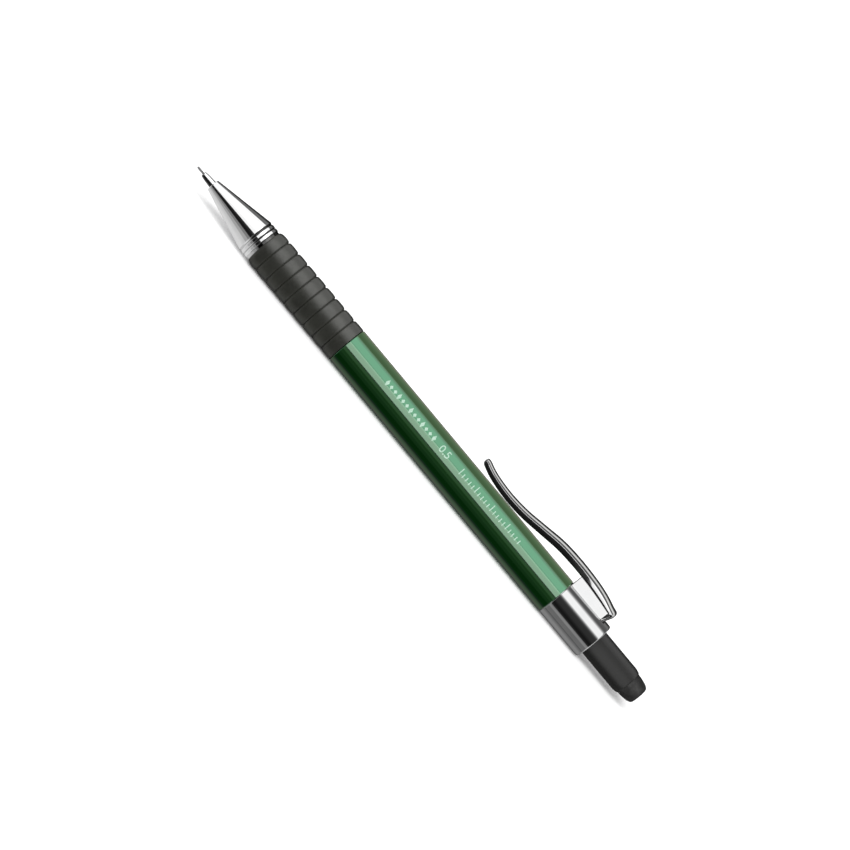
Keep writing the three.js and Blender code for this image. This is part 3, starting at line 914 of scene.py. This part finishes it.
def eraser_carrier():
    front, rod, cup = TWIST_PIN - 0.8, 0.85, TUBE_BORE - 0.1
    profile = [
        (front, 0), (front, rod, 0.08), (CUP_START, rod), (CUP_START, cup, 0.1), (CUP_END, cup, 0.05),
        (CUP_END, CUP_BORE), (CUP_START + 1.1, CUP_BORE), (CUP_START + 1.1, 0),
    ]
    carrier = turned("eraser_carrier_body", profile)
    pin = turned("pin", [(0, 0), (0, 0.3, 0.05), (0.9, 0.3, 0.08), (0.9, 0)], sides=32)
    upright = Matrix.Rotation(-math.pi / 2, 4, "Y")
    to_place = Matrix.Translation(place(TWIST_PIN, 0, 0.55))
    pin.data.transform(to_place @ upright @ Matrix.Translation(-place(0, 0, 0)))
    boolean(carrier, pin, "UNION")
    for side in (-1, 1):
        low, high = sorted((2.6 * side, 3.04 * side))
        key = block("key", (CUP_START + 0.5, -0.35, low), (CUP_START + 3.5, 0.35, high))
        boolean(carrier, key, "UNION")
    finish_piece(carrier, "eraser_carrier")


def eraser():
    front, stem = CUP_START + 1.2, CUP_BORE - 0.06
    profile = [
        (front, 0), (front, stem), (CUP_END + 0.1, stem), (CUP_END + 0.1, 2.86, 0.1), (141.2, 2.94, 0.2),
        (142.5, 2.86, 0.4), (144.2, 2.6, 0.6), (LENGTH - 0.05, 2.1, 0.35), (LENGTH, 0),
    ]
    finish_piece(turned("eraser_rod", profile, sides=96), "eraser")


def eraser_tube():
    front, lip = 110, PLUG_END + 0.1
    profile = [
        (front, TUBE_BORE), (front, 3.26, 0.1), (front + 0.2, TUBE_RADIUS, 0.1),
        (TUBE_END - 1.1, TUBE_RADIUS, 0.25), (TUBE_END - 0.2, 3.14, 0.12), (TUBE_END, 3.0, 0.05),
        (TUBE_END, TUBE_BORE), (lip + 0.8, TUBE_BORE), (lip + 0.8, 1.6), (lip, 1.6), (lip, TUBE_BORE),
    ]
    tube = turned("eraser_tube_body", profile, sides=SIDES)
    for side in (-1, 1):
        low, high = sorted((2.5 * side, 3.12 * side))
        boolean(tube, block("keyway", (lip + 0.8, -0.45, low), (138, 0.45, high)), "DIFFERENCE")
    finish_piece(tube, "eraser_tube")
    start, end = RESERVOIR_END - 1.2, RESERVOIR_END - 0.1
    inside, outside = RESERVOIR_RADIUS + 0.1, TUBE_BORE - 0.06
    ring = [(start, inside), (start, outside, 0.06), (end, outside, 0.06), (end, inside)]
    finish_piece(turned("retaining_ring_body", ring), "retaining_ring")


# ---- Stage, lights and camera ----

CAMERA_ELEVATION = math.radians(15)
CAMERA_ROLL = math.radians(50.2)
CAMERA_DISTANCE = 0.56
VIEW_WIDTH = 0.1789
SENSOR = 36.0
TOWARDS_CAMERA = Vector((0, -math.cos(CAMERA_ELEVATION), math.sin(CAMERA_ELEVATION)))
CAMERA_UP = Vector((0, math.sin(CAMERA_ELEVATION), math.cos(CAMERA_ELEVATION)))
AIM = Vector((-0.00014, 0, AXIS_Z)) + CAMERA_UP * 0.00196


def camera():
    data = bpy.data.cameras.new("camera")
    data.sensor_width = SENSOR
    data.lens = SENSOR * CAMERA_DISTANCE / VIEW_WIDTH
    data.clip_start, data.clip_end = 0.01, 50
    made = bpy.data.objects.new("camera", data)
    bpy.context.scene.collection.objects.link(made)
    along = Vector((1, 0, 0))
    right = along * math.cos(CAMERA_ROLL) + CAMERA_UP * math.sin(CAMERA_ROLL)
    up = CAMERA_UP * math.cos(CAMERA_ROLL) - along * math.sin(CAMERA_ROLL)
    where = AIM + TOWARDS_CAMERA * CAMERA_DISTANCE
    made.matrix_world = Matrix.Translation(where) @ Matrix((right, up, TOWARDS_CAMERA)).transposed().to_4x4()
    bpy.context.scene.camera = made


# Soft boxes for the gloss of one piece each. From the pencil, each is seen between two elevations in degrees,
# where 0 is in front, over 90 behind and under 0 below. Then come its brightness or colour, and where along X
# it starts and ends if not at the usual places.
NOSE_KEY = (19, 112, 1.1, -0.6, 0.2)
SOFT_BOXES = {
    "nose_cone_body": [NOSE_KEY, (-170, -15, 0.22), (-170, -32, 0.2), (-150, -55, 0.22)],
    "tip_sleeve_tube": [NOSE_KEY],
    "grip_sleeve_rubber": [(38, 140, 1.15), (34, 88, 0.95), (-115, -60, 0.25)],
    "barrel_body": [
        (18, 45, (1.5, 1.0, 1.12)), (80, 90, (0.5, 0.35, 0.38)), (88, 146, (0.25, 0.19, 0.11)),
        (146, 170, (0.42, 0.36, 0.3)), (-70, 12, (0, 0.032, 0)), (-34, 12, (0.018, 0.02, 0.012)),
        (-16, 14, (0.022, 0.026, 0.014)), (0, 17, (0.09, 0.08, 0.06)), (-130, -80, (0.05, 0.02, 0)),
    ],
    "rear_collar_body": [(-140, -68, 0.1), (-66, -17, 0.15), (-34, -21, 0.09), (-60, 75, 0.8, 0.75, 2.0)],
    "rear_collar_lug": [(-25, 75, 1.1)],
    "clip_strip": [(118, 136, (0.62, 0.62, 0.6)), (13, 50, 1.0, 0.15, 2.0)],
    "eraser_tube_body": [(80, 128, 1.7), (-45, 40, 1.6)],
    "eraser_rod": [(0, 78, 2.9)],
}
BOX_DISTANCE = 0.9
BOX_END = 1.3


def panel(name, piece, low, high, color, left=-BOX_END, right=BOX_END):
    """A flat soft box that faces the pencil and shows only in the gloss of one piece."""
    middle = math.radians((low + high) / 2)
    half = math.radians(high - low) / 2
    height = 2 * BOX_DISTANCE * math.sin(half)
    data = bpy.data.lights.new(name, "AREA")
    data.shape = "RECTANGLE"
    data.size, data.size_y = right - left, height
    data.energy = math.pi * data.size * height
    data.color = color if isinstance(color, tuple) else (color, color, color)
    made = bpy.data.objects.new(name, data)
    bpy.context.scene.collection.objects.link(made)
    outward = Vector((0, -math.cos(middle), math.sin(middle)))
    up = Vector((0, math.sin(middle), math.cos(middle)))
    turned_to = Matrix((Vector((1, 0, 0)), up, outward)).transposed().to_4x4()
    where = Vector(((left + right) / 2, 0, AXIS_Z)) + outward * BOX_DISTANCE * math.cos(half)
    made.matrix_world = Matrix.Translation(where) @ turned_to
    made.visible_camera = False
    made.visible_diffuse = False
    light_only(made, piece)


def light_only(light, piece):
    """Makes a light fall on one object only."""
    receivers = bpy.data.collections.new(light.name + "_receivers")
    receivers.objects.link(bpy.data.objects[piece])
    light.light_linking.receiver_collection = receivers


def lights():
    for piece, boxes in SOFT_BOXES.items():
        for i, box in enumerate(boxes):
            panel(f"{piece}_box_{i + 1}", piece, *box)
    sun = bpy.data.lights.new("floor_light", "SUN")
    sun.energy, sun.angle = 3.7, math.radians(60)
    made = bpy.data.objects.new("floor_light", sun)
    bpy.context.scene.collection.objects.link(made)
    made.rotation_euler = (math.radians(50), 0, 0)
    made.visible_glossy = False
    light_only(made, "floor")


def floor():
    size = 8.0
    corners = [(-size, -size, 0), (size, -size, 0), (size, size, 0), (-size, size, 0)]
    mesh = bpy.data.meshes.new("floor")
    mesh.from_pydata(corners, [], [(0, 1, 2, 3)])
    made = bpy.data.objects.new("floor", mesh)
    bpy.context.scene.collection.objects.link(made)
    paint = Paint("floor", (0.86, 0.86, 0.86), 0.9)
    paint.set("Specular IOR Level", 0.1)
    paint.vary_color(paint.noise(60, 3), (0.85, 0.85, 0.85), (0.87, 0.87, 0.87))
    mesh.materials.append(paint.material)
    made.visible_glossy = False
    made.visible_shadow = False


# What the gloss shows of the studio, going round the pencil: the elevation in degrees, 0 in front, 90 above
# and 180 behind, and the brightness there. It differs towards the pencil's two ends.
ROOM = [
    (-180, 0.03), (-150, 0.05), (-131, 0.11), (-116, 0.155), (-103, 0.165), (-92, 0.14), (-82, 0.08),
    (-73, 0.04), (-62, 0.012), (-40, 0.01), (-15, 0.02), (-4, 0.008), (6, 0.018), (12, 0.03), (32, 0.035),
    (39, 0.1), (44, 0.45), (49, 1.1), (76, 1.1), (84, 0.4), (90, 0.15), (97, 0.1), (112, 0.12),
    (126, 0.18), (140, 0.17), (148, 0.03),
]
ROOM_ENDS = [(-180, 0.35), (-60, 0.45), (-20, 0.3), (10, 0.2), (60, 0.22), (100, 0.35), (150, 0.45)]


def world():
    """White to the eye and a soft even light on matt surfaces, with a darker room in reflections."""
    made = bpy.data.worlds.new("studio")
    bpy.context.scene.world = made
    made.use_nodes = True
    made.cycles.sampling_method = "NONE"
    nodes, links = made.node_tree.nodes, made.node_tree.links
    nodes.clear()

    def math_node(operation, *values):
        new = nodes.new("ShaderNodeMath")
        new.operation = operation
        for socket, value in zip(new.inputs, values):
            if isinstance(value, (int, float)):
                socket.default_value = value
            else:
                links.new(value, socket)
        return new.outputs[0]

    def share(value, low, high):
        new = nodes.new("ShaderNodeMapRange")
        new.interpolation_type = "SMOOTHSTEP"
        new.inputs["From Min"].default_value = low
        new.inputs["From Max"].default_value = high
        links.new(value, new.inputs["Value"])
        return new.outputs["Result"]

    def ramp(value, stops):
        new = nodes.new("ShaderNodeValToRGB")
        elements = new.color_ramp.elements
        elements.remove(elements[1])
        for i, (degrees, level) in enumerate(stops):
            position = (degrees + 180) / 360
            element = elements[0] if i == 0 else elements.new(position)
            element.position = position
            element.color = (level, level, level, 1)
        links.new(value, new.inputs["Fac"])
        return new.outputs["Color"]

    def mix(factor, first, second):
        new = nodes.new("ShaderNodeMix")
        new.data_type = "RGBA"
        links.new(factor, new.inputs["Factor"])
        for name, value in (("A", first), ("B", second)):
            if isinstance(value, tuple):
                new.inputs[name].default_value = value
            else:
                links.new(value, new.inputs[name])
        return new.outputs["Result"]

    split = nodes.new("ShaderNodeSeparateXYZ")
    links.new(nodes.new("ShaderNodeTexCoord").outputs["Generated"], split.inputs[0])
    x, y, z = split.outputs
    angle = math_node("ARCTAN2", z, math_node("MULTIPLY", y, -1))
    turn_share = math_node("ADD", math_node("DIVIDE", angle, 2 * math.pi), 0.5)
    towards_end = share(math_node("ABSOLUTE", x), 0.56, 0.68)
    seen = mix(towards_end, ramp(turn_share, ROOM), ramp(turn_share, ROOM_ENDS))
    path = nodes.new("ShaderNodeLightPath")
    soft = mix(path.outputs["Is Camera Ray"], (0.8, 0.8, 0.8, 1), (1, 1, 1, 1))
    seen = mix(path.outputs["Is Glossy Ray"], soft, seen)
    background = nodes.new("ShaderNodeBackground")
    links.new(seen, background.inputs["Color"])
    links.new(background.outputs[0], nodes.new("ShaderNodeOutputWorld").inputs["Surface"])


camera()
nose_cone()
tip_sleeve()
lead()
slider()
lead_brake()
springs()
clutch()
reservoir_and_leads()
grip_sleeve()
barrel()
barrel_print()
clip()
rear_collar()
eraser_base()
eraser_carrier()
eraser()
eraser_tube()
floor()
world()
lights()
bpy.context.scene.view_settings.view_transform = "Standard"
